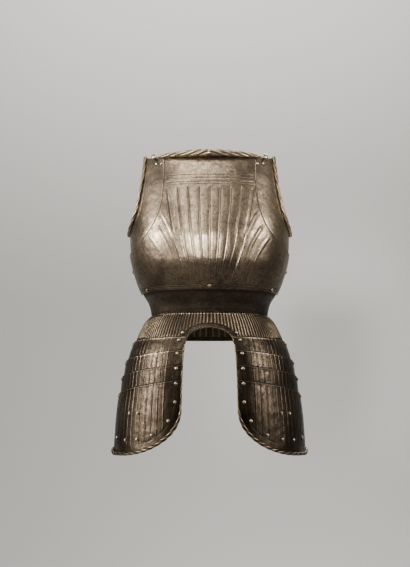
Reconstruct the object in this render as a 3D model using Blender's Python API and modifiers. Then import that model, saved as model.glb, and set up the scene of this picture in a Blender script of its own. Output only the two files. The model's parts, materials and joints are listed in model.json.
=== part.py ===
"""Half armour of fluted plate: breastplate, gussets, waist plate, skirt, tassets and plain back.

Metres, +Z up. The front faces -Y. The origin is in the middle of the waist, where the armour sits.
"""

import math

import bmesh
import bpy
from mathutils import Matrix, Vector

# Body: heights are from the waist
NECK_HEIGHT = 0.350
SKIRT_DROP = 0.303
WAIST_HALF_WIDTH = 0.1329
CHEST_HALF_WIDTH = 0.184
HIP_HALF_WIDTH = 0.213
WAIST_DEPTH = 0.1066
BELLY_DEPTH = 0.164
THIGH_DEPTH = 0.172
BACK_DEPTH = 0.118
SQUARENESS = 2.15
THIGH_TUCK = 0.010
TUCK_REACH = 0.100
TUCK_WIDTH = 0.050

# Plate
PLATE = 0.0020
STEEL_COLOUR = (0.32, 0.27, 0.21)
STEEL_ROUGHNESS = 0.34
SEAT_GAP = 0.0008
LAP = 0.013

# Breastplate
BREAST_BOTTOM = 0.047
BREAST_ARCH = 0.004
RIDGE_COUNT = 9
RIDGE_TOP_PITCH = 0.0235
RIDGE_HEIGHT = 0.0016
RIDGE_SHARE = 0.20
RIDGE_TOP = 0.276
RIDGE_FOOT = 0.056
RIDGE_FADE = 0.030
NECK_ROLL_MIDDLE = 0.0088
NECK_ROLL_END = 0.0012
NECK_ROLL_FULLNESS = 0.8
NECK_STRAND = 0.026
ARMPIT_HEIGHT = 0.130

# Gussets
GUSSET_LAP = 0.012
GUSSET_GAP = 0.0022
GUSSET_RISE = 0.006
GUSSET_ROLL = 0.0030
GUSSET_STRAND = 0.018
GUSSET_END = 0.180
GUSSET_TURN = 0.45
GUSSET_COLUMNS = (0.35, 0.7, 1.0)

# Waist plate and skirt
WAIST_LINE = 0.009
WAIST_SIDE_DROP = 0.013
WAIST_ROWS = (0.0, 0.33, 0.67, 1.0)
SKIRT_FLUTES = 40
SKIRT_FLUTE_HEIGHT = 0.0014
ARCH_HALF_WIDTH = 0.052
ARCH_TOP = -0.030
ARCH_SPRING = -0.062
ARCH_ROLL = 0.0016
ARCH_TURNED = 0.93
SKIRT_CALM = 0.012
SKIRT_BEND = 0.018
SKIRT_SLACK = 0.0004
SKIRT_START = 0.10

# Rows of the skirt over the arch: shares of the way up, with the share of the flutes' height
TOP_FLUTE = 0.4
ARCH_LEVELS = ((0.0, 0.0), (0.15, 0.0), (0.35, 1.0), (0.6, 1.0), (1.0, TOP_FLUTE))
SIDE_ANGLE = math.radians(85)

# Tassets
LAME_CLEARANCE = 0.0012
EDGE_MARGIN = 0.001
TASSET_FLUTES = 12
FLUTED_SHARE = 0.90
TASSET_FLUTE_HEIGHT = 0.0013
TASSET_BORDER = 0.022
TASSET_ROLL = 0.0013
TASSET_STRAND = 0.016
TASSET_SIDE_ANGLE = math.radians(83)
CORNER_START = -0.188
CORNER_WIDTH = 0.115
CORNER_SQUARENESS = 2.5
OUTER_CORNER_RISE = 0.020
OUTER_CORNER_SHARE = 0.16
OUTER_CORNER_ROUND = 0.9
INNER_COLUMNS = (0.0, 0.02, 0.06)
END_LEVELS = (1.0, 0.86, 0.57, 0.28, 0.0)
FLUTE_END = 0.8

# Back
BACK_TOP = 0.325
BACK_COLUMNS = 7
BACK_UPPER_ROWS = (0.05, 0.12, 0.22, 0.40, 0.68, 1.0)
CULET_BOTTOM = -0.046
CULET_TOP = -0.002
CULET_FLUTES = 18
CULET_ROWS = (1.0, 0.6, 0.3)
CULET_FADE = 0.25
REAR_LAP_ANGLE = math.radians(7)

# Rivets, studs and pins
RIVET_RADIUS = 0.0033
RIVET_HEIGHT = 0.0023
DOME_TOP = 0.55
RIVET_SEAT = 0.0003
RIVET_INSET = 0.0060
BORDER_INSET = 0.0125
STUD_RADIUS = 0.0075
STUD_HEIGHT = 0.0135
STUD_FOOT = 0.0030
STUD_SHAPE = ((0.40, 0.59), (1.0, 0.67), (0.8, 0.88), (0.35, 1.0))
PIN_RADIUS = 0.0040
ROUND_SIDES = 8
WAIST_RIVET_ANGLE = math.radians(62)
WAIST_RIVET_RISE = 0.007
GUSSET_RIVET_DROP = 0.0125
SEAT_SEARCH = 0.008
OUTER_RIVET_SHARE = 0.95

# Rivet at the breastplate's shoulder corner and the stud, measured from the top of the gusset's seam
CORNER_RIVET_INSET = 0.0077
CORNER_RIVET_DROP = 0.0158
STUD_REACH = 0.0065

# Rivet beside the arch: shares of ARCH_HALF_WIDTH and ARCH_SPRING
FAULD_RIVET = (1.12, 0.69)

# Rivets of the last lame, first those along its turned edge: shares of HIP_HALF_WIDTH and SKIRT_DROP
END_RIVETS = (
    # x, drop
    (0.345, 0.635),
    (0.410, 0.765),
    (0.575, 0.865),
    (0.730, 0.895),
    (0.850, 0.900),
    (0.945, 0.885),
    (0.720, 0.712),
    (0.805, 0.712),
)

# Rows of the breastplate above the armpit: shares of the way up to the neck
BREAST_UPPER_ROWS = (0.06, 0.15, 0.28, 0.46, 0.66, 0.84, 1.0)

# Columns beside the ridges: shares of the way to the strip along the plate's edge
SIDE_COLUMNS = (0.25, 0.5, 0.75, 1.0)

# Turned and roped edges. A section this close to the middle plane lies in it
MIDDLE_REACH = 0.00001
CURL_STEPS = 4
CURL_SWEEP = math.radians(285)
ROPE_DEPTH = 0.12

# Step over which the body's surface is measured for its normal
NORMAL_STEP = 0.002

# Upper body: shares of NECK_HEIGHT, of the way out from the waist to CHEST_HALF_WIDTH and BELLY_DEPTH,
# and of BACK_DEPTH
UPPER_BODY = (
    # height, half_width, front, back
    (0.00, 0.000, 0.000, 0.780),
    (0.06, 0.082, 0.114, 0.795),
    (0.14, 0.381, 0.429, 0.850),
    (0.23, 0.633, 0.729, 0.915),
    (0.34, 0.845, 0.957, 0.975),
    (0.46, 0.971, 1.000, 1.000),
    (0.57, 0.982, 0.843, 0.990),
    (0.71, 0.874, 0.500, 0.920),
    (0.86, 0.694, 0.086, 0.790),
    (0.95, 0.568, -0.229, 0.680),
    (1.00, 0.496, -0.457, 0.600),
    (1.05, 0.424, -0.714, 0.500),
)

# Lower body: shares of SKIRT_DROP, of the way out from the waist to HIP_HALF_WIDTH and THIGH_DEPTH,
# and of BACK_DEPTH
LOWER_BODY = (
    # drop, half_width, front, back
    (0.00, 0.000, 0.000, 0.780),
    (0.06, 0.170, 0.185, 0.840),
    (0.16, 0.367, 0.474, 0.950),
    (0.27, 0.569, 0.711, 1.040),
    (0.40, 0.721, 0.855, 1.100),
    (0.56, 0.840, 0.934, 1.120),
    (0.75, 0.941, 0.987, 1.130),
    (1.00, 1.000, 1.000, 1.130),
    (1.10, 1.000, 1.000, 1.130),
)

# Seam between breastplate and gusset, and the gusset's arm side: shares of NECK_HEIGHT and CHEST_HALF_WIDTH
ARMHOLE = (
    # height, seam, arm_side
    (0.37, 1.000, 1.000),
    (0.40, 0.945, 1.000),
    (0.45, 0.855, 1.000),
    (0.52, 0.755, 0.990),
    (0.59, 0.685, 0.935),
    (0.70, 0.633, 0.868),
    (0.86, 0.615, 0.815),
    (1.00, 0.617, 0.788),
    (1.05, 0.617, 0.785),
)

# Spread of the breastplate's ridges: shares of NECK_HEIGHT and RIDGE_TOP_PITCH
RIDGE_SPREAD = (
    # height, pitch
    (0.12, 0.40),
    (0.22, 0.53),
    (0.43, 0.80),
    (0.79, 1.00),
    (1.05, 1.04),
)

# Upper edges of the four lames: shares of SKIRT_DROP
LAME_EDGES = (
    # inner drop, fall towards the side
    (0.175, 0.015),
    (0.268, 0.062),
    (0.374, 0.072),
    (0.480, 0.090),
)

# Inner edge of the tassets: shares of SKIRT_DROP and ARCH_HALF_WIDTH
INNER_EDGE = (
    # drop, half_width
    (0.16, 0.98),
    (0.29, 1.08),
    (0.43, 1.13),
    (0.64, 1.16),
    (1.10, 1.16),
)

# Back's armhole: shares of NECK_HEIGHT and CHEST_HALF_WIDTH
BACK_ARMHOLE = (
    # height, half_width
    (0.34, 0.960),
    (0.42, 0.850),
    (0.52, 0.760),
    (0.70, 0.700),
    (0.95, 0.680),
)

FRONT = -1
BACK = 1
SIDES = (("right", False), ("left", True))


def along(table, at, column):
    """Smooth reading of one column of a table, whose first column rises."""
    heights = [row[0] for row in table]
    values = [row[column] for row in table]
    last = len(heights) - 1
    at = min(max(at, heights[0]), heights[last])
    i = max(k for k in range(last) if heights[k] <= at)
    span = heights[i + 1] - heights[i]
    share = (at - heights[i]) / span

    def slope(k):
        if k in (0, last):
            return (values[min(k + 1, last)] - values[max(k - 1, 0)]) / (
                heights[min(k + 1, last)] - heights[max(k - 1, 0)]
            )
        before = (values[k] - values[k - 1]) / (heights[k] - heights[k - 1])
        after = (values[k + 1] - values[k]) / (heights[k + 1] - heights[k])
        return 0.0 if before * after <= 0 else 2 * before * after / (before + after)

    square = share * share
    cube = square * share
    return (
        (2 * cube - 3 * square + 1) * values[i]
        + (cube - 2 * square + share) * span * slope(i)
        + (3 * square - 2 * cube) * values[i + 1]
        + (cube - square) * span * slope(i + 1)
    )


def body_size(z):
    """Half width, front depth and back depth of the body at a height."""
    if z >= 0:
        share = z / NECK_HEIGHT
        return (
            WAIST_HALF_WIDTH + (CHEST_HALF_WIDTH - WAIST_HALF_WIDTH) * along(UPPER_BODY, share, 1),
            WAIST_DEPTH + (BELLY_DEPTH - WAIST_DEPTH) * along(UPPER_BODY, share, 2),
            BACK_DEPTH * along(UPPER_BODY, share, 3),
        )
    share = -z / SKIRT_DROP
    return (
        WAIST_HALF_WIDTH + (HIP_HALF_WIDTH - WAIST_HALF_WIDTH) * along(LOWER_BODY, share, 1),
        WAIST_DEPTH + (THIGH_DEPTH - WAIST_DEPTH) * along(LOWER_BODY, share, 2),
        BACK_DEPTH * along(LOWER_BODY, share, 3),
    )


def body_point(side, angle, z):
    """Point of the body's surface. The angle runs from the middle of that side, positive towards +X."""
    half_width, front, back = body_size(z)
    here = side if math.cos(angle) >= 0 else -side
    depth = front if here == FRONT else back
    power = 2 / SQUARENESS
    x = half_width * math.copysign(abs(math.sin(angle)) ** power, math.sin(angle))
    y = here * depth * abs(math.cos(angle)) ** power
    if z < ARCH_SPRING and here == FRONT:
        inward = min(max((TUCK_REACH - abs(x)) / TUCK_WIDTH, 0.0), 1.0)
        lower = min((ARCH_SPRING - z) / (-ARCH_SPRING), 1.0)
        y += THIGH_TUCK * inward * inward * lower
    return Vector((x, y, z))


def body_normal(side, angle, z):
    across = body_point(side, angle + NORMAL_STEP, z) - body_point(side, angle - NORMAL_STEP, z)
    up = body_point(side, angle, z + NORMAL_STEP) - body_point(side, angle, z - NORMAL_STEP)
    normal = across.cross(up).normalized()
    return normal if side == FRONT else -normal


def on_body(side, angle, z, offset=0.0):
    return body_point(side, angle, z) + offset * body_normal(side, angle, z)


def angle_at(x, z):
    """Angle from the middle at which the body's surface is at this x."""
    share = min(abs(x) / body_size(z)[0], 1.0)
    return math.copysign(math.asin(share ** (SQUARENESS / 2)), x)


def spaced(first, last, count):
    return [first + (last - first) * i / (count - 1) for i in range(count)]


def smooth_step(share):
    share = min(max(share, 0.0), 1.0)
    return share * share * (3 - 2 * share)


# Materials and objects


def material(name, colour, roughness):
    made = bpy.data.materials.new(name)
    made.use_nodes = True
    shader = made.node_tree.nodes["Principled BSDF"]
    shader.inputs["Base Color"].default_value = (*colour, 1.0)
    shader.inputs["Metallic"].default_value = 1.0
    shader.inputs["Roughness"].default_value = roughness
    return made


def add_object(collection, name, mesh, look):
    obj = bpy.data.objects.new(name, mesh)
    collection.objects.link(obj)
    if not mesh.materials:
        mesh.materials.append(look)
    mesh.shade_smooth()
    mesh.set_sharp_from_angle(angle=math.radians(50))
    return obj


def add_sheet(bm, rows):
    """Quads through rows of points, listed upwards, each row from -X to +X on the front."""
    grid = [[bm.verts.new(point) for point in row] for row in rows]
    for below, above in zip(grid, grid[1:]):
        for i in range(len(below) - 1):
            bm.faces.new((below[i], below[i + 1], above[i + 1], above[i]))
    return grid


def add_curl(bm, path, inside, radius_at, strand):
    """Turns the edge along a path of vertices outwards into a roll, roped in strands along its length."""
    bm.normal_update()
    normals = [vertex.normal.copy() for vertex in path]
    travelled = 0.0
    rings = []
    for i, vertex in enumerate(path):
        before = path[max(i - 1, 0)].co
        after = path[min(i + 1, len(path) - 1)].co
        tangent = (after - before).normalized()
        if abs(vertex.co.x) < MIDDLE_REACH:
            tangent = Vector((1, 0, 0))
        normal = (normals[i] - tangent * normals[i].dot(tangent)).normalized()
        out = vertex.co - inside[i].co
        out = (out - tangent * out.dot(tangent) - normal * out.dot(normal)).normalized()
        if i:
            travelled += (vertex.co - path[i - 1].co).length
        radius = radius_at(i / (len(path) - 1))
        ring = [vertex]
        for k in range(1, CURL_STEPS + 1):
            turn = CURL_SWEEP * k / CURL_STEPS
            rope = 1 + ROPE_DEPTH * math.cos(2 * math.pi * travelled / strand + turn) * math.sin(turn / 2)
            reach = radius * rope if k < CURL_STEPS else radius
            ring.append(
                bm.verts.new(
                    vertex.co
                    + normal * radius
                    + reach * (math.sin(turn) * out - math.cos(turn) * normal)
                )
            )
        rings.append(ring)
    for first, second in zip(rings, rings[1:]):
        for k in range(CURL_STEPS):
            bm.faces.new((first[k], second[k], second[k + 1], first[k + 1]))


def sheet_mesh(name, bm, side=FRONT):
    """A mesh from an open surface, facing away from the body, with its roll facing the same way."""
    bm.faces.ensure_lookup_table()
    bm.normal_update()
    outward = -side * bm.faces[0].normal
    bmesh.ops.recalc_face_normals(bm, faces=bm.faces)
    if bm.faces[0].normal.dot(outward) < 0:
        bmesh.ops.reverse_faces(bm, faces=bm.faces)
    mesh = bpy.data.meshes.new(name)
    bm.to_mesh(mesh)
    bm.free()
    return mesh


def add_plate(collection, name, mesh, look, whole=False, mirror=False):
    """A plate on the inner side of a surface: a right half mirrored to a whole, or a right or left piece."""
    obj = add_object(collection, name, mesh, look)
    if whole:
        halves = obj.modifiers.new("halves", "MIRROR")
        halves.merge_threshold = 0.0001
    if mirror:
        obj.scale.x = -1
    wall = obj.modifiers.new("wall", "SOLIDIFY")
    wall.thickness = PLATE
    wall.offset = -1
    return obj


# Breastplate


def seam_x(z):
    """Half width of the breastplate where its edge runs down the armhole."""
    return CHEST_HALF_WIDTH * along(ARMHOLE, z / NECK_HEIGHT, 1)


def seam_angle(z):
    """Angle of the breastplate's edge: the armhole seam above the armpit, the side line below it."""
    if z <= ARMPIT_HEIGHT:
        return math.radians(90)
    return angle_at(seam_x(z), z)


def ridge_angles(z):
    """Angles of the columns from the middle ridge to the outermost one, each with its height share."""
    pitch = RIDGE_TOP_PITCH * along(RIDGE_SPREAD, z / NECK_HEIGHT, 1)
    columns = [(0.0, 1.0), (angle_at(RIDGE_SHARE * pitch, z), 0.0)]
    for k in range(1, (RIDGE_COUNT + 1) // 2):
        columns += [
            (angle_at((k - RIDGE_SHARE) * pitch, z), 0.0),
            (angle_at(k * pitch, z), 1.0),
            (angle_at((k + RIDGE_SHARE) * pitch, z), 0.0),
        ]
    return columns


def side_angles(first, edge):
    """Columns beside the ridges, the last two on the strip that laps over the next plate."""
    lap = edge - REAR_LAP_ANGLE
    return [first + (lap - first) * share for share in SIDE_COLUMNS] + [edge]


def side_heights():
    """Heights of the rows along the side line, which the back's rows share."""
    return spaced(BREAST_BOTTOM, ARMPIT_HEIGHT, 5)


def breast_rows():
    heights = side_heights() + [
        ARMPIT_HEIGHT + share * (NECK_HEIGHT - ARMPIT_HEIGHT) for share in BREAST_UPPER_ROWS
    ]
    rows = []
    for height in heights:
        columns = ridge_angles(height)
        columns += [(angle, 0.0) for angle in side_angles(columns[-1][0], seam_angle(height))]
        fade = smooth_step((height - RIDGE_FOOT) / RIDGE_FADE)
        fade *= smooth_step((RIDGE_TOP - height) / RIDGE_FADE)
        row = []
        for angle, ridge in columns:
            arch = BREAST_ARCH * math.cos(angle) * (1 - (height - BREAST_BOTTOM) / NECK_HEIGHT)
            row.append(on_body(FRONT, angle, height + arch, RIDGE_HEIGHT * ridge * fade))
        rows.append(row)
    return rows


def neck_roll_radius(share):
    fullness = math.cos(math.pi / 2 * share) ** NECK_ROLL_FULLNESS
    return NECK_ROLL_END + (NECK_ROLL_MIDDLE - NECK_ROLL_END) * fullness


def build_breastplate(collection, look):
    bm = bmesh.new()
    grid = add_sheet(bm, breast_rows())
    add_curl(bm, grid[-1], grid[-2], neck_roll_radius, NECK_STRAND)
    return add_plate(collection, "breastplate", sheet_mesh("breastplate", bm), look, whole=True)


# Gussets


def gusset_rows():
    """Rows from the end at the side up to the shoulder, on the right: hidden edge first, arm side last."""
    offset = -(PLATE + GUSSET_GAP)
    rows = []
    for climb in (0.0,) + BREAST_UPPER_ROWS:
        arm_z = GUSSET_END + climb * (NECK_HEIGHT + GUSSET_RISE - GUSSET_END)
        seam_z = ARMPIT_HEIGHT + climb * (NECK_HEIGHT - ARMPIT_HEIGHT)
        arm = angle_at(CHEST_HALF_WIDTH * along(ARMHOLE, arm_z / NECK_HEIGHT, 2), arm_z)
        seam_point = (seam_angle(seam_z), seam_z)
        arm_point = (arm, arm_z)
        # The hidden strip runs on under the breastplate, away from the arm side
        back_angle = GUSSET_LAP / body_size(seam_z)[0]
        turned = smooth_step(climb / GUSSET_TURN)
        drop = GUSSET_LAP * (1 - turned)
        slide = back_angle * turned
        room = 2 * NECK_ROLL_MIDDLE if climb == 1.0 else 0.0
        hidden = (seam_point[0] - slide, seam_z - drop - room)
        row = [on_body(FRONT, *hidden, offset - GUSSET_GAP / 2), on_body(FRONT, *seam_point, offset)]
        for share in GUSSET_COLUMNS:
            angle = seam_point[0] + (arm_point[0] - seam_point[0]) * share
            z = seam_point[1] + (arm_point[1] - seam_point[1]) * share
            row.append(on_body(FRONT, angle, z, offset))
        rows.append(row)
    return rows


def build_gussets(collection, look, pivots):
    bm = bmesh.new()
    grid = add_sheet(bm, gusset_rows())
    path = [row[-1] for row in grid]
    inside = [row[-2] for row in grid]
    add_curl(bm, path, inside, lambda share: GUSSET_ROLL, GUSSET_STRAND)
    mesh = sheet_mesh("gusset", bm)
    for side, mirror in SIDES:
        hang(add_plate(collection, f"gusset_{side}", mesh, look, mirror=mirror), pivots[side][-1])


# Waist plate and skirt


def waist_z(angle):
    """Height of the line where the skirt meets the waist plate."""
    return WAIST_LINE - WAIST_SIDE_DROP * (1 - abs(math.cos(angle)))


def waist_rows():
    columns = ridge_angles(BREAST_BOTTOM)
    angles = [angle for angle, ridge in columns if ridge]
    angles += side_angles(columns[-1][0], math.radians(90))[:-1]
    top = BREAST_BOTTOM + LAP
    rows = [[on_body(FRONT, angle, waist_z(angle) - LAP, -(PLATE + SEAT_GAP)) for angle in angles]]
    for share in WAIST_ROWS:
        rows.append(
            [
                on_body(FRONT, angle, waist_z(angle) + (top - waist_z(angle)) * share, -(PLATE + SEAT_GAP))
                for angle in angles
            ]
        )
    return rows


def build_waist_plate(collection, look):
    bm = bmesh.new()
    add_sheet(bm, waist_rows())
    add_plate(collection, "waist_plate", sheet_mesh("waist_plate", bm), look, whole=True)


def arch_z(x):
    share = min(abs(x) / ARCH_HALF_WIDTH, 1.0)
    return ARCH_SPRING + (ARCH_TOP - ARCH_SPRING) * math.sqrt(1 - share * share)


def lame_edge(number, share):
    """Height of the upper edge of a lame at a share of the way from its inner edge to the side."""
    inner, fall = LAME_EDGES[number]
    return -SKIRT_DROP * (inner + fall * share)


def across_share(x):
    """Share of the way from the tassets' inner edge to the side."""
    return max(abs(x) - ARCH_HALF_WIDTH, 0.0) / (HIP_HALF_WIDTH - ARCH_HALF_WIDTH)


def lame_offset(number, share, z):
    """Offset of a lame from the body: outside at its upper edge, inside where the next lame covers it."""
    step = PLATE + LAME_CLEARANCE
    top = lame_edge(number, share) if number >= 0 else WAIST_LINE
    if number == len(LAME_EDGES) - 1:
        return step * (0.5 - 0.5 * (top - z) / (top + SKIRT_DROP))
    following = lame_edge(number + 1, share)
    if z < following:
        slack = SKIRT_SLACK if number < 0 else 0.0
        return lame_offset(number + 1, share, z) - step - slack
    start = 0.5 if number >= 0 else SKIRT_START
    return step * (start - (start + 0.5) * (top - z) / (top - following))


def fauld_heights(angle, x):
    """Heights of the skirt's rows at one column, from the lower edge up, with the flutes' share there."""
    top = waist_z(angle)
    if abs(x) < ARCH_HALF_WIDTH:
        bottom = arch_z(x)
        return [(bottom + (top - bottom) * level, flute) for level, flute in ARCH_LEVELS]
    edge = lame_edge(0, across_share(x))
    shown = edge + SKIRT_CALM
    middle = top - SKIRT_BEND
    return [(edge - LAP, 0.0), (edge + EDGE_MARGIN, 0.0), (shown, 1.0), (middle, 1.0), (top, TOP_FLUTE)]


def fauld_rows():
    columns = []
    for i, angle in enumerate(spaced(0.0, SIDE_ANGLE, SKIRT_FLUTES + 1)):
        x = body_point(FRONT, angle, ARCH_SPRING).x
        share = across_share(x)
        columns.append(
            [
                on_body(FRONT, angle, z, lame_offset(-1, share, z) + SKIRT_FLUTE_HEIGHT * flute * (i % 2))
                for z, flute in fauld_heights(angle, x)
            ]
        )
    return [list(row) for row in zip(*columns)]


def build_fauld(collection, look):
    bm = bmesh.new()
    rows = fauld_rows()
    grid = add_sheet(bm, rows)
    turned = [i for i, vertex in enumerate(grid[0]) if vertex.co.x < ARCH_HALF_WIDTH * ARCH_TURNED]
    path = [grid[0][i] for i in turned]
    inside = [grid[1][i] for i in turned]
    add_curl(bm, path, inside, lambda share: ARCH_ROLL, TASSET_STRAND)
    return add_plate(collection, "fauld", sheet_mesh("fauld", bm), look, whole=True)


# Tassets


def inner_x(z):
    return ARCH_HALF_WIDTH * along(INNER_EDGE, -z / SKIRT_DROP, 1)


def tasset_columns():
    """Shares across a lame, from the inner edge to the side, with the height of the flute at each."""
    border = TASSET_BORDER / (HIP_HALF_WIDTH - ARCH_HALF_WIDTH)
    columns = [(0.0, 0.0), (border * 0.5, 0.0)]
    for i in range(2 * TASSET_FLUTES + 1):
        columns.append((border + (FLUTED_SHARE - border) * i / (2 * TASSET_FLUTES), float(i % 2)))
    return columns + [(1.0, 0.0)]


def lame_point(share, z, offset):
    """Point of a right-hand tasset at a share of the way from the inner edge to the side."""
    inner = angle_at(inner_x(z), z)
    return on_body(FRONT, inner + (TASSET_SIDE_ANGLE - inner) * share, z, offset)


def lame_rows(number):
    rows = []
    for level in ("bottom", "shown", "top"):
        row = []
        for share, ridge in tasset_columns():
            following = lame_edge(number + 1, share)
            heights = {
                "bottom": following - LAP,
                "shown": following + 2 * EDGE_MARGIN,
                "top": lame_edge(number, share),
            }
            z = heights[level]
            offset = lame_offset(number, share, z) + TASSET_FLUTE_HEIGHT * ridge
            row.append(lame_point(share, z, offset))
        rows.append(row)
    return rows


def end_bottom(share):
    """Lower edge of the last lame: a long round corner inside and a short one at the side."""
    width = CORNER_WIDTH / (HIP_HALF_WIDTH - ARCH_HALF_WIDTH)
    z = -SKIRT_DROP
    if share < width:
        across = 1 - share / width
        curve = (1 - across**CORNER_SQUARENESS) ** (1 / CORNER_SQUARENESS)
        z = CORNER_START - (SKIRT_DROP + CORNER_START) * curve
    if share > 1 - OUTER_CORNER_SHARE:
        across = (share - 1 + OUTER_CORNER_SHARE) / OUTER_CORNER_SHARE
        z += OUTER_CORNER_RISE * (1 - math.sqrt(1 - across * across * OUTER_CORNER_ROUND))
    return z


def end_columns():
    """Columns of the last lame, closer together at the inner corner."""
    columns = [(share, 0.0) for share in INNER_COLUMNS]
    return columns + tasset_columns()[2:]


def end_rows():
    last = len(LAME_EDGES) - 1
    rows = []
    for level in END_LEVELS:
        row = []
        for share, ridge in end_columns():
            top = lame_edge(last, share)
            bottom = end_bottom(share)
            z = top + (bottom - top) * level
            flute = TASSET_FLUTE_HEIGHT * ridge * (level < FLUTE_END)
            row.append(lame_point(share, z, lame_offset(last, share, z) + flute))
        rows.append(row)
    return rows


def build_lame(collection, look, number, pivots):
    """A lame of both tassets, with its inner edge turned, and its lower edge too where that edge is free."""
    last = number == len(LAME_EDGES) - 1
    bm = bmesh.new()
    grid = add_sheet(bm, end_rows() if last else lame_rows(number))
    path = [row[0] for row in reversed(grid)]
    inside = [row[1] for row in reversed(grid)]
    if last:
        inside[-1] = grid[1][1]
        path += grid[0][1:]
        inside += grid[1][1:]
    else:
        path.pop()
        inside.pop()
    add_curl(bm, path, inside, lambda share: TASSET_ROLL, TASSET_STRAND)
    mesh = sheet_mesh(f"lame_{number + 1}", bm)
    for side, mirror in SIDES:
        lame = add_plate(collection, f"tasset_{side}_lame_{number + 1}", mesh, look, mirror=mirror)
        hang(lame, pivots[side][number])


# Back


def back_edge(z):
    if z <= side_heights()[-2]:
        return math.radians(90) + REAR_LAP_ANGLE
    return angle_at(CHEST_HALF_WIDTH * along(BACK_ARMHOLE, z / NECK_HEIGHT, 1), z)


def back_rows():
    side = side_heights()[:-1]
    heights = [-LAP, 0.0, side[0] / 2] + side
    heights += [side[-1] + share * (BACK_TOP - side[-1]) for share in BACK_UPPER_ROWS]
    rows = []
    for height in heights:
        edge = back_edge(height)
        angles = spaced(0.0, edge - REAR_LAP_ANGLE, BACK_COLUMNS) + [edge]
        # Above the waist plate the back lies against the breastplate, below it inside waist plate and culet
        inner = min(max((side[2] - height) / (side[2] - side[0]), 0.0), 1.0)
        offset = -(1 + 2 * inner) * (PLATE + SEAT_GAP)
        rows.append([on_body(BACK, angle, height, offset) for angle in angles])
    return rows


def culet_rows():
    edge = math.radians(90) + REAR_LAP_ANGLE
    rows = []
    for z in [CULET_BOTTOM * share for share in CULET_ROWS] + [CULET_TOP]:
        row = []
        for i, angle in enumerate(spaced(0.0, edge, CULET_FLUTES + 1)):
            rear = smooth_step(math.cos(angle) / CULET_FADE)
            flute = SKIRT_FLUTE_HEIGHT * (i % 2) * rear
            row.append(on_body(BACK, angle, z, flute - 2 * (PLATE + SEAT_GAP)))
        rows.append(row)
    return rows


def build_back(collection, look, name, rows):
    bm = bmesh.new()
    add_sheet(bm, rows)
    return add_plate(collection, name, sheet_mesh(name, bm, BACK), look, whole=True)


# Rivets, studs and pins


def turned_mesh(name, profile, look):
    """A round solid about Z, from a profile of radii and heights that starts at its foot."""
    bm = bmesh.new()
    rings = []
    for radius, height in profile:
        turns = [2 * math.pi * k / ROUND_SIDES for k in range(ROUND_SIDES)]
        rings.append([bm.verts.new((radius * math.cos(t), radius * math.sin(t), height)) for t in turns])
    for below, above in zip(rings, rings[1:]):
        for k in range(ROUND_SIDES):
            following = (k + 1) % ROUND_SIDES
            bm.faces.new((below[k], below[following], above[following], above[k]))
    bm.faces.new(list(reversed(rings[0])))
    bm.faces.new(rings[-1])
    mesh = bpy.data.meshes.new(name)
    bm.to_mesh(mesh)
    bm.free()
    mesh.materials.append(look)
    return mesh


def dome_profile(radius, height):
    return [(radius, 0.0), (radius * DOME_TOP, height)]


def stud_profile():
    foot = [(STUD_FOOT, 0.0)]
    return foot + [(STUD_RADIUS * radius, STUD_HEIGHT * height) for radius, height in STUD_SHAPE]


def rise_over(plate, point, normal, radius):
    """How far the plate's outer face rises along the normal from a point near it, under a round foot."""
    graph = bpy.context.evaluated_depsgraph_get()
    to_plate = plate.matrix_world.inverted()
    start = point + normal * SEAT_SEARCH
    side = normal.orthogonal().normalized()
    rises = []
    for k in range(ROUND_SIDES + 1):
        rim = Matrix.Rotation(2 * math.pi * k / ROUND_SIDES, 3, normal) @ side * radius if k else Vector()
        found, place, _, _ = plate.evaluated_get(graph).ray_cast(
            to_plate @ (start + rim), (to_plate.to_3x3() @ -normal).normalized(), distance=2 * SEAT_SEARCH
        )
        if found:
            rises.append((plate.matrix_world @ place - point).dot(normal))
    return max(rises, default=0.0)


def seat(collection, plate, name, mesh, look, place, mirror=False):
    """Sets a round piece on a plate's outer face. The place is a point and its normal, on the right."""
    turn = Vector((-1, 1, 1)) if mirror else Vector((1, 1, 1))
    point, normal = place[0] * turn, place[1] * turn
    radius = max(vertex.co.xy.length for vertex in mesh.vertices if vertex.co.z < SEAT_GAP)
    obj = add_object(collection, name, mesh, look)
    obj.rotation_euler = normal.to_track_quat("Z", "Y").to_euler()
    obj.location = point + normal * (rise_over(plate, point, normal, radius) + RIVET_SEAT)
    return obj


def body_place(angle, z, offset=0.0):
    return on_body(FRONT, angle, z, offset), body_normal(FRONT, angle, z)


def lame_place(number, share, z):
    inner = angle_at(inner_x(z), z)
    return body_place(inner + (TASSET_SIDE_ANGLE - inner) * share, z, lame_offset(number, share, z))


def share_at(x, z):
    """Share of the way across a tasset at which it is at this x."""
    inner = angle_at(inner_x(z), z)
    return (angle_at(x, z) - inner) / (TASSET_SIDE_ANGLE - inner)


def pivot_place(number, outer):
    """Place of one of the two rivets that a lame turns on, just under its upper edge."""
    edge = lame_edge(number, 0)
    share = OUTER_RIVET_SHARE if outer else share_at(inner_x(edge) + BORDER_INSET, edge)
    return lame_place(number, share, lame_edge(number, share) - RIVET_INSET)


def corner_place():
    """Place of the rivet at the breastplate's shoulder corner, which the gusset turns on."""
    z = NECK_HEIGHT - CORNER_RIVET_DROP
    return body_place(angle_at(seam_x(z) - CORNER_RIVET_INSET, z), z)


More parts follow.
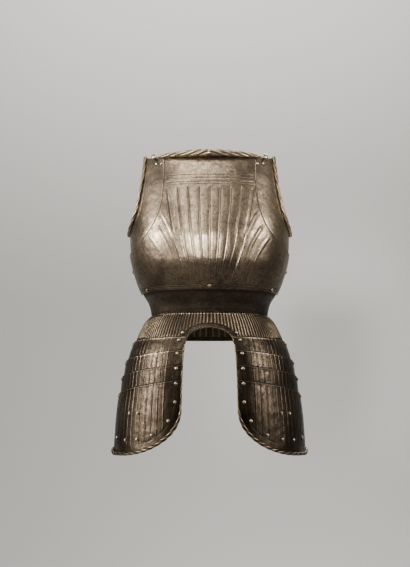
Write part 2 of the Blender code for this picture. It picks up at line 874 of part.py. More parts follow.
def build_body_rivets(collection, look, plates, pivots):
    """Rivets and pins of the breastplate and skirt, and each gusset's stud and rivet, which turn with it."""
    rivet = turned_mesh("rivet_head", dome_profile(RIVET_RADIUS, RIVET_HEIGHT), look)
    stud = turned_mesh("stud", stud_profile(), look)
    pin = turned_mesh("side_pin", dome_profile(PIN_RADIUS, RIVET_HEIGHT), look)
    waist_z_rivet = BREAST_BOTTOM + WAIST_RIVET_RISE
    arch_x, arch_z_rivet = ARCH_HALF_WIDTH * FAULD_RIVET[0], ARCH_SPRING * FAULD_RIVET[1]
    stud_x = seam_x(NECK_HEIGHT) + STUD_REACH
    below_stud = NECK_HEIGHT - GUSSET_RIVET_DROP
    pin_angle = math.radians(90) - REAR_LAP_ANGLE / 2
    pin_z = (side_heights()[-2] + side_heights()[-3]) / 2
    breast = plates["breastplate"]
    middle = body_place(0.0, waist_z_rivet + BREAST_ARCH)
    seat(collection, breast, "rivet_waist_middle", rivet, look, middle)
    for side, mirror in SIDES:
        pieces = (
            (breast, "rivet_neck", rivet, corner_place()),
            (breast, "rivet_waist", rivet, body_place(WAIST_RIVET_ANGLE, waist_z_rivet)),
            (breast, "side_pin", pin, body_place(pin_angle, pin_z)),
            (plates["fauld"], "rivet_fauld", rivet, body_place(angle_at(arch_x, arch_z_rivet), arch_z_rivet)),
        )
        for plate, name, mesh, place in pieces:
            seat(collection, plate, f"{name}_{side}", mesh, look, place, mirror)
        gusset = plates[f"gusset_{side}"]
        for name, mesh, z in (("stud", stud, NECK_HEIGHT), ("rivet_gusset", rivet, below_stud)):
            place = body_place(angle_at(stud_x, z), z)
            hang(seat(collection, gusset, f"{name}_{side}", mesh, look, place, mirror), pivots[side][-1])


def build_tasset_rivets(collection, look, plates, pivots):
    """The rivets that the lames turn on, and those of the last lame, each hung on its lame's pivot."""
    rivet = turned_mesh("tasset_rivet_head", dome_profile(RIVET_RADIUS, RIVET_HEIGHT), look)
    last = len(LAME_EDGES) - 1
    for side, mirror in SIDES:
        for number in range(len(LAME_EDGES)):
            places = [("inner", pivot_place(number, False)), ("outer", pivot_place(number, True))]
            if number == last:
                for index, (x, drop) in enumerate(END_RIVETS):
                    z = -SKIRT_DROP * drop
                    places.append((f"end_{index + 1}", lame_place(last, share_at(HIP_HALF_WIDTH * x, z), z)))
            plate = plates[f"tasset_{side}_lame_{number + 1}"]
            for name, place in places:
                name = f"rivet_{side}_{number + 1}_{name}"
                hang(seat(collection, plate, name, rivet, look, place, mirror), pivots[side][number])


# Joints


def hang(obj, pivot):
    """Parents an object to a pivot and leaves it where it is."""
    obj.parent = pivot
    obj.matrix_parent_inverse = pivot.matrix_world.inverted()


def add_pivot(collection, name, place, turn):
    empty = bpy.data.objects.new(name, None)
    empty.location = place
    empty.rotation_euler = turn.to_euler()
    collection.objects.link(empty)
    bpy.context.view_layer.update()
    return empty


def build_pivots(collection):
    """Empties on the axes of the moving pieces: four lames, each hung on the one above, and last the gusset.

    A lame's axis is its empty's X, from its inner to its outer rivet. The gusset's axis is its empty's Z.
    """
    pivots = {}
    for side, mirror in SIDES:
        turn = Vector((-1, 1, 1)) if mirror else Vector((1, 1, 1))
        chain = []
        for number in range(len(LAME_EDGES)):
            inner = pivot_place(number, False)[0] * turn
            outer = pivot_place(number, True)[0] * turn
            name = f"pivot_{side}_lame_{number + 1}"
            empty = add_pivot(collection, name, inner, (outer - inner).to_track_quat("X", "Z"))
            if chain:
                hang(empty, chain[-1])
                bpy.context.view_layer.update()
            chain.append(empty)
        corner, normal = corner_place()
        shoulder = (normal * turn).to_track_quat("Z", "Y")
        pivots[side] = chain + [add_pivot(collection, f"pivot_{side}_gusset", corner * turn, shoulder)]
    return pivots


def main():
    for obj in list(bpy.data.objects):
        bpy.data.objects.remove(obj)
    collection = bpy.data.collections.new("half_armour")
    bpy.context.scene.collection.children.link(collection)
    steel = material("patinated_steel", STEEL_COLOUR, STEEL_ROUGHNESS)
    pivots = build_pivots(collection)
    build_breastplate(collection, steel)
    build_gussets(collection, steel, pivots)
    build_waist_plate(collection, steel)
    build_fauld(collection, steel)
    for number in range(len(LAME_EDGES)):
        build_lame(collection, steel, number, pivots)
    build_back(collection, steel, "backplate", back_rows())
    build_back(collection, steel, "culet", culet_rows())
    bpy.context.view_layer.update()
    plates = {obj.name: obj for obj in collection.objects}
    build_body_rivets(collection, steel, plates, pivots)
    build_tasset_rivets(collection, steel, plates, pivots)


main()
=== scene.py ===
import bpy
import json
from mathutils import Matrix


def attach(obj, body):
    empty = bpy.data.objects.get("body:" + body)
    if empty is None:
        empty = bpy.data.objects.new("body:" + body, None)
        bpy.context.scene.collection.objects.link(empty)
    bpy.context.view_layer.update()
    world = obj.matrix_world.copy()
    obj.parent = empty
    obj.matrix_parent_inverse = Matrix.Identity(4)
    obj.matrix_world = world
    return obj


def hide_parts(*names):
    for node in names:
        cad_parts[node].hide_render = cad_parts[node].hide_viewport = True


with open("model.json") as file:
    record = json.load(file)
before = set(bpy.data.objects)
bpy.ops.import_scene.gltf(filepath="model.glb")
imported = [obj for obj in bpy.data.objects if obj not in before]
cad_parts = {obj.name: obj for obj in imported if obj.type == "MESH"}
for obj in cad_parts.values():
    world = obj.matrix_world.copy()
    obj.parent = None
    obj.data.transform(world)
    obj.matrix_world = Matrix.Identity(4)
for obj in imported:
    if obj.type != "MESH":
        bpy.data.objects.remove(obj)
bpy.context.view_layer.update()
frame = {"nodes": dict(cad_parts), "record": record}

import json
import math

import bpy
import numpy as np
from mathutils import Matrix, Vector

# Sizes are in metres and heights are from the waist. Left and right are the picture's, and right is +X.
# A relief value is only for the material: above 0 the steel is rubbed bright, below 0 it is darkened, with dark
# oxide in grooves and painted shade at ridge feet, at laps and under plate edges

# Body
NECK_HEIGHT = 0.350
SKIRT_DROP = 0.303
CHEST_HALF_WIDTH = 0.184
HIP_HALF_WIDTH = 0.213
BELLY_DEPTH = 0.164
THIGH_DEPTH = 0.172
BACK_DEPTH = 0.118
SQUARENESS = 2.15
THIGH_TUCK = 0.010
TUCK_REACH = 0.100
TUCK_WIDTH = 0.050
PLATE = 0.0020
SEAT_GAP = 0.0008
LAP = 0.013
SIDE = math.radians(90)

# Breastplate
BREAST_BOTTOM = 0.047
BREAST_ARCH = 0.004
ARMPIT_HEIGHT = 0.130
RIDGES_FROM_MIDDLE = 5
RIDGE_TOP_PITCH = 0.0235
RIDGE_HALF_WIDTH = 0.0021
RIDGE_MOST_OF_PITCH = 0.28
RIDGE_HEIGHT = 0.0016
RIDGE_TOP = 0.276
RIDGE_FOOT = 0.056
INCISED_HALF_WIDTH = 0.0011
INCISED_DEPTH = 0.00055
NECK_ROLL_MIDDLE = 0.0088
NECK_ROLL_END = 0.0028
GUSSET_LAP = 0.012
GUSSET_GAP = 0.0022
GUSSET_TOP = 0.356
GUSSET_ROLL = 0.0030
GUSSET_ROPE = 1.35
GUSSET_END = 0.180
GUSSET_TURN = 0.45
GUSSET_LINE = 0.80
GUSSET_LINE_HALF_WIDTH = 0.02

# Slanting flutes beside the ridges
SLANTING_HALF_WIDTH = 0.0040
SLANTING_HEIGHT = 0.0017
SLANTING_TROUGH = 0.0004
SLANTING_BOW = 0.007
SLANTING_RIGHT = 0.95
SLANTING_LEFT = 0.45

# Waist plate, skirt and tassets
WAIST_LINE = 0.009
WAIST_SIDE_DROP = 0.013
WAIST_SIDE_ANGLE = math.radians(83)
FLUTE_POINTS = 6
SKIRT_FLUTES = 32
SKIRT_FLUTE_HEIGHT = 0.0014
SKIRT_FLUTE_SHARPNESS = 1.7
SKIRT_START = 0.10
SKIRT_SLACK = 0.0004
SIDE_ANGLE = math.radians(85)
ARCH_HALF_WIDTH = 0.052
ARCH_TOP = -0.030
ARCH_SPRING = -0.062
ARCH_ROLL = 0.0019
LAME_CLEARANCE = 0.0012
TASSET_FLUTES = 12
FLUTED_SHARE = 0.90
TASSET_FLUTE_HEIGHT = 0.0013
TASSET_FLUTE_WEAR = 0.45
TASSET_BORDER = 0.022
TASSET_GROOVE = 0.0165
TASSET_ROLL = 0.0015
TASSET_ROLL_GROWTH = 0.0027
TASSET_SIDE_ANGLE = math.radians(83)
CORNER_START = -0.188
CORNER_WIDTH = 0.115
CORNER_SQUARENESS = 2.5
OUTER_CORNER_RISE = 0.020
OUTER_CORNER_SHARE = 0.16
OUTER_CORNER_ROUND = 0.9

# Back
BACK_TOP = 0.325
BACK_ARMHOLE_FOOT = 0.1093
BACK_TUCK_TOP = 0.0885
BACK_TUCK_HEIGHT = 0.0415
BACK_LINE_INSET = 0.009
BACK_LINE_HALF_WIDTH = 0.0014
CULET_BOTTOM = -0.046
CULET_TOP = -0.002
CULET_FLUTES = 40
REAR_LAP_ANGLE = math.radians(7)

# Height as a share of NECK_HEIGHT, then half width, front depth and back depth as shares of CHEST_HALF_WIDTH,
# BELLY_DEPTH and BACK_DEPTH
UPPER_BODY = (
    (0.00, 0.722, 0.650, 0.780),
    (0.06, 0.745, 0.690, 0.795),
    (0.14, 0.828, 0.800, 0.850),
    (0.23, 0.898, 0.905, 0.915),
    (0.34, 0.957, 0.985, 0.975),
    (0.46, 0.992, 1.000, 1.000),
    (0.57, 0.995, 0.945, 0.990),
    (0.71, 0.965, 0.825, 0.920),
    (0.86, 0.915, 0.680, 0.790),
    (0.95, 0.880, 0.570, 0.680),
    (1.00, 0.860, 0.490, 0.600),
    (1.05, 0.840, 0.400, 0.500),
)
# Drop as a share of SKIRT_DROP, then shares of HIP_HALF_WIDTH, THIGH_DEPTH and BACK_DEPTH
LOWER_BODY = (
    (0.00, 0.624, 0.620, 0.780),
    (0.06, 0.688, 0.690, 0.840),
    (0.16, 0.762, 0.800, 0.950),
    (0.27, 0.838, 0.890, 1.040),
    (0.40, 0.895, 0.945, 1.100),
    (0.56, 0.940, 0.975, 1.120),
    (0.75, 0.978, 0.995, 1.130),
    (1.00, 1.000, 1.000, 1.130),
    (1.10, 1.000, 1.000, 1.130),
)

# Height, armhole seam and arm side of the gusset, as shares of NECK_HEIGHT and CHEST_HALF_WIDTH
ARMHOLE = (
    (0.37, 1.000, 1.000),
    (0.40, 0.945, 1.000),
    (0.45, 0.855, 1.000),
    (0.52, 0.755, 0.990),
    (0.59, 0.685, 0.935),
    (0.70, 0.633, 0.868),
    (0.86, 0.615, 0.815),
    (1.00, 0.617, 0.788),
    (1.05, 0.617, 0.785),
)
BACK_ARMHOLE = ((0.34, 0.960), (0.42, 0.850), (0.52, 0.760), (0.70, 0.700), (0.95, 0.680))

# Height and spacing of the ridges, as shares of NECK_HEIGHT and RIDGE_TOP_PITCH
RIDGE_SPREAD = ((0.12, 0.40), (0.22, 0.53), (0.43, 0.80), (0.79, 1.00), (1.05, 1.04))

# Across a ridge: distance from the crest in half widths, and share of the height, below 0 at the feet, shallow
# troughs that the material darkens with painted shade
RIDGE_PROFILE = (
    (-1.3, 0.0), (-0.9, -0.16), (-0.5, 0.2), (-0.2, 0.8), (0.0, 1.0),
    (0.2, 0.8), (0.5, 0.2), (0.9, -0.16), (1.3, 0.0),
)
# The same across a tasset's flute, in shares of the flutes' spacing
TASSET_PROFILE = (
    (-0.23, 0.0), (-0.15, -0.12), (-0.09, 0.25), (0.0, 1.0),
    (0.09, 0.25), (0.15, -0.12), (0.23, 0.0), (0.5, 0.0),
)

# Drop of each lame's upper edge at the inner side, and its further fall towards the hip
LAME_EDGES = ((0.175, 0.015), (0.268, 0.062), (0.374, 0.072), (0.480, 0.090))
LAST_LAME = len(LAME_EDGES) - 1
# Drop and place of the tassets' inner edge, as shares of SKIRT_DROP and ARCH_HALF_WIDTH
INNER_EDGE = ((0.16, 0.98), (0.29, 1.08), (0.43, 1.13), (0.64, 1.16), (1.10, 1.16))

# Heights of the incised lines across the chest, and of those along the lower edge above that edge
CHEST_LINES = (0.303, 0.2955, 0.2865, 0.281)
HEM_LINES = (0.006, 0.010)

# Both ends of each slanting flute as x and z
SLANTING_FLUTES = (
    ((0.1060, 0.222), (0.0530, 0.070)),
    ((0.1160, 0.192), (0.0650, 0.064)),
    ((0.1330, 0.170), (0.0780, 0.058)),
)

# Width of the smooth border beside the armhole seam at heights up the chest
SEAM_BORDER_HEIGHTS = (0.13, 0.16, 0.20, 0.25, 0.30, 0.36)
SEAM_BORDER_WIDTHS = (0.004, 0.007, 0.010, 0.0125, 0.0135, 0.0135)

# Dents of the breastplate: x, z, radius and depth
DENTS = (
    (-0.060, 0.232, 0.020, 0.0007),
    (0.048, 0.262, 0.014, 0.0005),
    (0.105, 0.140, 0.026, 0.0010),
    (-0.118, 0.108, 0.024, 0.0009),
    (-0.015, 0.318, 0.017, 0.0005),
    (0.070, 0.326, 0.012, 0.0005),
    (0.020, 0.120, 0.016, 0.0005),
)

# Radius and height of the domed heads, and outlines of the turned pieces from the foot up
RIVET_DOME = (0.0039, 0.0031)
PIN_DOME = (0.0041, 0.0026)
KNOB_PROFILE = ((0.0042, -0.002), (0.0042, 0.0005), (0.0034, 0.0022), (0.0018, 0.0032), (0.0002, 0.0035))
STUD_PROFILE = (
    (0.0042, -0.0004), (0.0040, 0.0008), (0.0031, 0.0016), (0.0029, 0.0070),
    (0.0040, 0.0082), (0.0070, 0.0088), (0.0075, 0.0094), (0.0074, 0.0103),
    (0.0066, 0.0117), (0.0050, 0.0128), (0.0028, 0.0134), (0.0003, 0.0136),
)

FRONT = -1
BACK = 1
SIDES = (("right", 1), ("left", -1))


def along(table, at, column):
    """Smooth reading of one column of a table at many places."""
    rows = np.array(table)
    x, v = rows[:, 0], rows[:, column]
    rise = np.diff(v) / np.diff(x)
    slope = np.concatenate((rise[:1], np.zeros(len(x) - 2), rise[-1:]))
    same = rise[:-1] * rise[1:] > 0
    slope[1:-1][same] = 2 * rise[:-1][same] * rise[1:][same] / (rise[:-1] + rise[1:])[same]
    at = np.clip(at, x[0], x[-1])
    i = np.clip(np.searchsorted(x, at, side="right") - 1, 0, len(x) - 2)
    span = x[i + 1] - x[i]
    t = (at - x[i]) / span
    t2, t3 = t * t, t * t * t
    return (
        (2 * t3 - 3 * t2 + 1) * v[i]
        + (t3 - 2 * t2 + t) * span * slope[i]
        + (3 * t2 - 2 * t3) * v[i + 1]
        + (t3 - t2) * span * slope[i + 1]
    )


def body_size(z):
    """Half width, front depth and back depth of the body at each height."""
    upper = z >= 0

    def share(column):
        above = along(UPPER_BODY, z / NECK_HEIGHT, column)
        return np.where(upper, above, along(LOWER_BODY, -z / SKIRT_DROP, column))

    return (
        share(1) * np.where(upper, CHEST_HALF_WIDTH, HIP_HALF_WIDTH),
        share(2) * np.where(upper, BELLY_DEPTH, THIGH_DEPTH),
        share(3) * BACK_DEPTH,
    )


def body_points(side, angle, z):
    """Points of the body's surface. The angle runs from the middle of that side, positive towards +X."""
    angle, z = np.broadcast_arrays(np.asarray(angle, float), np.asarray(z, float))
    half_width, front, back = body_size(z)
    here = np.where(np.cos(angle) >= 0, side, -side)
    depth = np.where(here == FRONT, front, back)
    power = 2 / SQUARENESS
    x = half_width * np.sign(np.sin(angle)) * np.abs(np.sin(angle)) ** power
    y = here * depth * np.abs(np.cos(angle)) ** power
    inward = np.clip((TUCK_REACH - np.abs(x)) / TUCK_WIDTH, 0, 1)
    lower = np.clip((ARCH_SPRING - z) / (-ARCH_SPRING), 0, 1)
    y = y + np.where(here == FRONT, THIGH_TUCK * inward * inward * lower, 0.0)
    return np.stack((x, y, z), axis=-1)


def body_normals(side, angle, z):
    step = 0.002
    across = body_points(side, angle + step, z) - body_points(side, angle - step, z)
    up = body_points(side, angle, z + step) - body_points(side, angle, z - step)
    normal = np.cross(across, up)
    normal /= np.linalg.norm(normal, axis=-1, keepdims=True)
    return normal if side == FRONT else -normal


def on_body(side, angle, z, offset=0.0):
    """Points this far outside the body's surface."""
    angle, z, offset = np.broadcast_arrays(angle, z, offset)
    return body_points(side, angle, z) + offset[..., None] * body_normals(side, angle, z)


def angle_at(x, z):
    share = np.clip(np.abs(x) / body_size(np.asarray(z, float))[0], 0, 1)
    return np.sign(x) * np.arcsin(share ** (SQUARENESS / 2))


def smooth_step(share):
    share = np.clip(share, 0, 1)
    return share * share * (3 - 2 * share)


def line_near(distance, half_width):
    """1 on a line, falling to 0 at half_width from it."""
    return np.clip(1 - np.abs(distance) / half_width, 0, 1)


def with_lines(positions, lines, half_width):
    """Positions with more of them added close to each line."""
    cleared = 1.4 * half_width
    near = [line + half_width * s for line in lines for s in (-1, -0.5, 0, 0.5, 1)]
    kept = [p for p in positions if all(abs(p - line) > cleared for line in lines)]
    return np.array(sorted(kept + near))


def distance_along(points):
    return np.concatenate(([0.0], np.cumsum(np.linalg.norm(np.diff(points, axis=0), axis=1))))


def evenly(points, step):
    """The same line with points this far apart."""
    travelled = distance_along(points)
    wanted = np.linspace(0, travelled[-1], max(int(travelled[-1] / step), 2))
    return np.stack([np.interp(wanted, travelled, points[:, k]) for k in range(3)], axis=-1)


def hammering(points, size, seed):
    """Uneven height left by the hammer and by age, from crossing waves of about this size."""
    rng = np.random.default_rng(seed)
    waves = 10
    total = np.zeros(points.shape[:-1])
    for _ in range(waves):
        heading = rng.normal(size=3)
        heading /= np.linalg.norm(heading)
        wave = size * rng.uniform(0.7, 1.9)
        total += np.sin(2 * math.pi * (points @ heading) / wave + rng.uniform(0, 6.3))
    return total / waves


# Materials

# Numbers of the Mix node's sockets for colours
MIX_SHARE, MIX_BELOW, MIX_ABOVE, MIX_RESULT = 0, 6, 7, 2


def colour(code):
    """A linear colour from an sRGB hex value."""
    parts = [int(code[i : i + 2], 16) / 255 for i in (1, 3, 5)]
    return (*[p / 12.92 if p <= 0.04045 else ((p + 0.055) / 1.055) ** 2.4 for p in parts], 1.0)


def node(tree, kind, links=(), inputs=(), stops=(), **settings):
    """Adds a node with its settings, socket values, (position, grey) ramp stops and (socket, source) links."""
    made = tree.nodes.new(kind)
    for key, value in settings.items():
        setattr(made, key, value)
    for key, value in dict(inputs).items():
        made.inputs[key].default_value = value
    for _ in stops[2:]:
        made.color_ramp.elements.new(0.5)
    for at, (position, grey) in enumerate(stops):
        made.color_ramp.elements[at].position = position
        made.color_ramp.elements[at].color = (grey, grey, grey, 1.0)
    for socket, source in links:
        tree.links.new(source, made.inputs[socket])
    return made


def patinated_steel(name, light, warm, dark, low_shade, gloss, hammer):
    """Steel gone brown with age and wax: mottled bloom, dark recesses, rubbed crests, pits and scratches, with
    painted shade low down and at laps and edges.
    """
    made = bpy.data.materials.new(name)
    made.use_nodes = True
    tree = made.node_tree
    shader = tree.nodes["Principled BSDF"]
    shader.inputs["Metallic"].default_value = 1.0
    place = node(tree, "ShaderNodeTexCoord").outputs["Object"]
    relief = node(tree, "ShaderNodeAttribute", attribute_name="relief").outputs["Fac"]
    # Stains are a hand's breadth across, hammer facets 16 mm, mottling 8 mm and grit 3 mm. Pits are 1 mm across
    # and 2.4 mm apart, and scratches 1 mm wide and 17 mm long, both coarser than real ones so that they show
    stains = node(tree, "ShaderNodeTexNoise", [("Vector", place)],
                  inputs={"Scale": 13.0, "Detail": 6.0, "Roughness": 0.62, "Distortion": 0.6})
    mottle = node(tree, "ShaderNodeTexNoise", [("Vector", place)],
                  inputs={"Scale": 120.0, "Detail": 8.0, "Roughness": 0.7, "Distortion": 0.3})
    pits = node(tree, "ShaderNodeTexVoronoi", [("Vector", place)], inputs={"Scale": 420.0, "Randomness": 1.0})
    facets = node(tree, "ShaderNodeTexVoronoi", [("Vector", place)], feature="SMOOTH_F1",
                  inputs={"Scale": 62.0, "Smoothness": 0.7, "Randomness": 1.0})
    grit = node(tree, "ShaderNodeTexNoise", [("Vector", place)],
                inputs={"Scale": 360.0, "Detail": 4.0, "Roughness": 0.65})
    stretched = node(tree, "ShaderNodeMapping", [("Vector", place)],
                     inputs={"Rotation": (0.2, 0.5, 0.9), "Scale": (900.0, 900.0, 60.0)})
    scratches = node(tree, "ShaderNodeTexNoise", [("Vector", stretched.outputs["Vector"])],
                     inputs={"Scale": 1.0, "Detail": 2.0, "Roughness": 0.5})

    age = node(tree, "ShaderNodeValToRGB", [("Fac", stains.outputs["Fac"])], stops=((0.36, 0.0), (0.66, 1.0)))
    tone = node(tree, "ShaderNodeMix", [(MIX_SHARE, age.outputs["Color"])],
                inputs={MIX_BELOW: colour(light), MIX_ABOVE: colour(warm)}, data_type="RGBA")
    # Painted shade: the colour is darkened from where the belly turns downward to the waist, and fully below it
    height = node(tree, "ShaderNodeSeparateXYZ", [("Vector", place)])
    low = node(tree, "ShaderNodeMapRange", [("Value", height.outputs["Z"])], interpolation_type="SMOOTHSTEP",
               inputs={"From Min": 0.17, "From Max": -0.01, "To Min": 0.0, "To Max": 1.0})
    low_shaded = node(tree, "ShaderNodeMix",
                   [(MIX_SHARE, low.outputs["Result"]), (MIX_BELOW, tone.outputs[MIX_RESULT])],
                   inputs={MIX_ABOVE: colour(low_shade)}, data_type="RGBA", blend_type="MULTIPLY")
    clouds = node(tree, "ShaderNodeValToRGB", [("Fac", mottle.outputs["Fac"])],
                  stops=((0.34, 0.22), (0.46, 0.70), (0.64, 1.0)))
    clouded = node(tree, "ShaderNodeMix",
                   [(MIX_BELOW, low_shaded.outputs[MIX_RESULT]), (MIX_ABOVE, clouds.outputs["Color"])],
                   inputs={MIX_SHARE: 0.8}, data_type="RGBA", blend_type="MULTIPLY")
    grains = node(tree, "ShaderNodeValToRGB", [("Fac", grit.outputs["Fac"])], stops=((0.38, 0.22), (0.56, 1.0)))
    bloom = node(tree, "ShaderNodeMix",
                 [(MIX_BELOW, clouded.outputs[MIX_RESULT]), (MIX_ABOVE, grains.outputs["Color"])],
                 inputs={MIX_SHARE: 0.7}, data_type="RGBA", blend_type="MULTIPLY")
    pitted = node(tree, "ShaderNodeValToRGB", [("Fac", pits.outputs["Distance"])],
                  stops=((0.12, 0.85), (0.26, 0.0)))
    specks = node(tree, "ShaderNodeMix",
                  [(MIX_SHARE, pitted.outputs["Color"]), (MIX_BELOW, bloom.outputs[MIX_RESULT])],
                  inputs={MIX_ABOVE: colour(dark)}, data_type="RGBA")
    # Recesses hold dark oxide, and painted shade darkens ridge feet, laps and the plate under edges; crests are
    # rubbed bright
    recess = node(tree, "ShaderNodeMapRange", [("Value", relief)],
                  inputs={"From Min": 0.0, "From Max": -0.7, "To Min": 0.0, "To Max": 0.85})
    hollows = node(tree, "ShaderNodeMix",
                   [(MIX_SHARE, recess.outputs["Result"]), (MIX_BELOW, specks.outputs[MIX_RESULT])],
                   inputs={MIX_ABOVE: colour(dark)}, data_type="RGBA")
    crest = node(tree, "ShaderNodeMapRange", [("Value", relief)],
                 inputs={"From Min": 0.45, "From Max": 1.0, "To Min": 0.0, "To Max": 0.6})
    rubbed = node(tree, "ShaderNodeMix",
                  [(MIX_SHARE, crest.outputs["Result"]), (MIX_BELOW, hollows.outputs[MIX_RESULT])],
                  inputs={MIX_ABOVE: colour(light)}, data_type="RGBA")
    tree.links.new(rubbed.outputs[MIX_RESULT], shader.inputs["Base Color"])

    sheen = node(tree, "ShaderNodeMapRange", [("Value", mottle.outputs["Fac"])],
                 inputs={"From Min": 0.3, "From Max": 0.7, "To Min": gloss + 0.12, "To Max": gloss - 0.05})
    oxide = node(tree, "ShaderNodeMath", [(0, recess.outputs["Result"])], {1: 0.35}, operation="MULTIPLY")
    dull = node(tree, "ShaderNodeMath", [(0, sheen.outputs["Result"]), (1, oxide.outputs["Value"])],
                operation="ADD")
    tree.links.new(dull.outputs["Value"], shader.inputs["Roughness"])

    coarse = node(tree, "ShaderNodeBump", [("Height", facets.outputs["Distance"])],
                  inputs={"Strength": hammer, "Distance": 0.0012})
    grain = node(tree, "ShaderNodeBump",
                 [("Height", mottle.outputs["Fac"]), ("Normal", coarse.outputs["Normal"])],
                 inputs={"Strength": 0.55, "Distance": 0.0005})
    fine = node(tree, "ShaderNodeBump",
                [("Height", scratches.outputs["Fac"]), ("Normal", grain.outputs["Normal"])],
                inputs={"Strength": 0.12, "Distance": 0.0002})
    tree.links.new(fine.outputs["Normal"], shader.inputs["Normal"])
    return made


# Hammered, once polished plate gone brown under wax: a warm satin sheen, broken by facets, clouds and dark pits
PLATE_STEEL = patinated_steel("patinated_plate_steel", "#b29e82", "#7c6b5b", "#211e1c", "#7c7a79", 0.33, 0.50)
# The same steel on small turned heads, rubbed by hands and cloths: smoother and lighter, with sharper glints
RIVET_STEEL = patinated_steel("rubbed_rivet_steel", "#c6b699", "#938370", "#1f1b18", "#b0aaa4", 0.27, 0.10)


# Meshes


def add_piece(name, mesh, look, body, seat=None):
    """A piece that rides on a body, set on its seat's place and direction if it has one."""
    mesh.materials.clear()
    mesh.materials.append(look)
    piece = bpy.data.objects.new(name, mesh)
    bpy.context.scene.collection.objects.link(piece)
    if seat:
        place, normal = seat
        turn = Vector(normal).to_track_quat("Z", "Y").to_matrix().to_4x4()
        piece.matrix_world = Matrix.Translation(Vector(place)) @ turn
    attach(piece, body)
    return piece


def relief_mesh(name, points, faces, relief):
    """A mesh with the relief value of each point, for the material."""
    mesh = bpy.data.meshes.new(name)
    mesh.from_pydata(points, [], faces)
    values = mesh.attributes.new("relief", "FLOAT", "POINT")
    values.data.foreach_set("value", np.ravel(relief).astype(np.float32))
    return mesh


def smooth(mesh, sharp_degrees):
    mesh.shade_smooth()
    mesh.set_sharp_from_angle(angle=math.radians(sharp_degrees))


def plate(name, points, relief, body, nodes, flip=False):
    """A piece of plate from rows of points: they are its outer face and the metal lies behind it."""
    rows, columns = points.shape[:2]
    index = np.arange(rows * columns).reshape(rows, columns)
    corners = (index[:-1, :-1], index[:-1, 1:], index[1:, 1:], index[1:, :-1])
    faces = np.stack(corners, axis=-1).reshape(-1, 4)
    if flip:
        faces = faces[:, ::-1]
    mesh = relief_mesh(name, points.reshape(-1, 3).tolist(), faces.tolist(), relief)
    draft = bpy.data.objects.new(name, mesh)
    bpy.context.scene.collection.objects.link(draft)
    wall = draft.modifiers.new("wall", "SOLIDIFY")
    wall.thickness = PLATE
    wall.offset = -1
    graph = bpy.context.evaluated_depsgraph_get()
    thick = bpy.data.meshes.new_from_object(draft.evaluated_get(graph))
    bpy.data.objects.remove(draft)
    thick.name = name
    smooth(thick, 48)
    piece = add_piece(name, thick, PLATE_STEEL, body)
    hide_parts(*nodes)


def ring_faces(rings, ring):
    """Faces of a closed solid whose points run ring by ring, with an end cap on both sides."""
    index = np.arange(rings * ring).reshape(rings, ring)
    after = np.roll(index, -1, axis=1)
    faces = np.stack((index[:-1], after[:-1], after[1:], index[1:]), axis=-1).reshape(-1, 4).tolist()
    return faces + [index[0].tolist()[::-1], index[-1].tolist()]


def tube(name, centres, outward, radii, strands, lead, depth, body, turn, ring):
    """A roll along a line, cut with grooves that wind round it like the strands of a rope.

    Each strand goes round once in a lead. The grooves' depth is a share of the radius, and turn is their hand.
    """
    tangent = np.gradient(centres, axis=0)
    tangent /= np.linalg.norm(tangent, axis=1, keepdims=True)
    side = outward - tangent * np.sum(outward * tangent, axis=1, keepdims=True)
    side /= np.linalg.norm(side, axis=1, keepdims=True)
    other = np.cross(tangent, side)
    travelled = distance_along(centres)
    if np.ndim(turn):
        # The hand changes in the middle, so the strands start there
        travelled = travelled - travelled[-1] / 2
    angles = np.linspace(0, 2 * math.pi, ring, endpoint=False)
    hand = np.asarray(turn).reshape(-1, 1)
    phase = strands * (angles[None, :] + hand * 2 * math.pi * travelled[:, None] / lead)
    strand = np.abs(np.sin(phase / 2)) ** 0.75
    reach = radii[:, None] * (1 - depth * (1 - strand))
    points = (
        centres[:, None, :]
        + (reach * np.cos(angles))[..., None] * side[:, None, :]
        + (reach * np.sin(angles))[..., None] * other[:, None, :]
    )
    groove = 0.55
    relief = np.where(strand < groove, -0.9 * (1 - strand / groove), 0.8 * (strand - groove) / 0.45)
    mesh = relief_mesh(name, points.reshape(-1, 3).tolist(), ring_faces(len(centres), ring), relief)
    smooth(mesh, 60)
    add_piece(name, mesh, PLATE_STEEL, body)


def turned(name, profile, ring, worn=0.8):
    """A round solid about Z from a profile of radii and heights, foot first, rubbed bright towards its top."""
    turns = np.linspace(0, 2 * math.pi, ring, endpoint=False)
    points = [(r * math.cos(t), r * math.sin(t), h) for r, h in profile for t in turns]
    foot, top = profile[0][1], profile[-1][1]
    relief = [2.4 * ((h - foot) / (top - foot)) ** worn - 1.2 for _, h in profile for _ in turns]
    mesh = relief_mesh(name, points, ring_faces(len(profile), ring), relief)
    smooth(mesh, 55)
    return mesh


# Breastplate


def seam_x(z):
    return CHEST_HALF_WIDTH * along(ARMHOLE, z / NECK_HEIGHT, 1)


def seam_angle(z):
    return np.where(z <= ARMPIT_HEIGHT, SIDE, angle_at(seam_x(z), z))


def breast_columns(z):
    """Angles of one row's columns on the right half, with the height share of the ridges there."""
    pitch = RIDGE_TOP_PITCH * float(along(RIDGE_SPREAD, z / NECK_HEIGHT, 1))
    width = min(RIDGE_HALF_WIDTH, RIDGE_MOST_OF_PITCH * pitch)
    foot = RIDGE_PROFILE[-1][0]
    columns = []
    for k in range(RIDGES_FROM_MIDDLE):
        columns += [(k * pitch + width * at, high) for at, high in RIDGE_PROFILE if k or at >= 0]
        if k < RIDGES_FROM_MIDDLE - 1:
            room = pitch - 2 * foot * width
            columns += [(k * pitch + foot * width + room * share, 0.0) for share in (0.33, 0.67)]
    x = np.array([c[0] for c in columns])
    angles = angle_at(x, np.full(len(x), z))
    edge = float(seam_angle(np.array(z)))
    side = angles[-1] + (edge - angles[-1]) * np.linspace(0, 1, 60)[1:]
    return np.concatenate((angles, side)), np.array([c[1] for c in columns] + [0.0] * len(side))


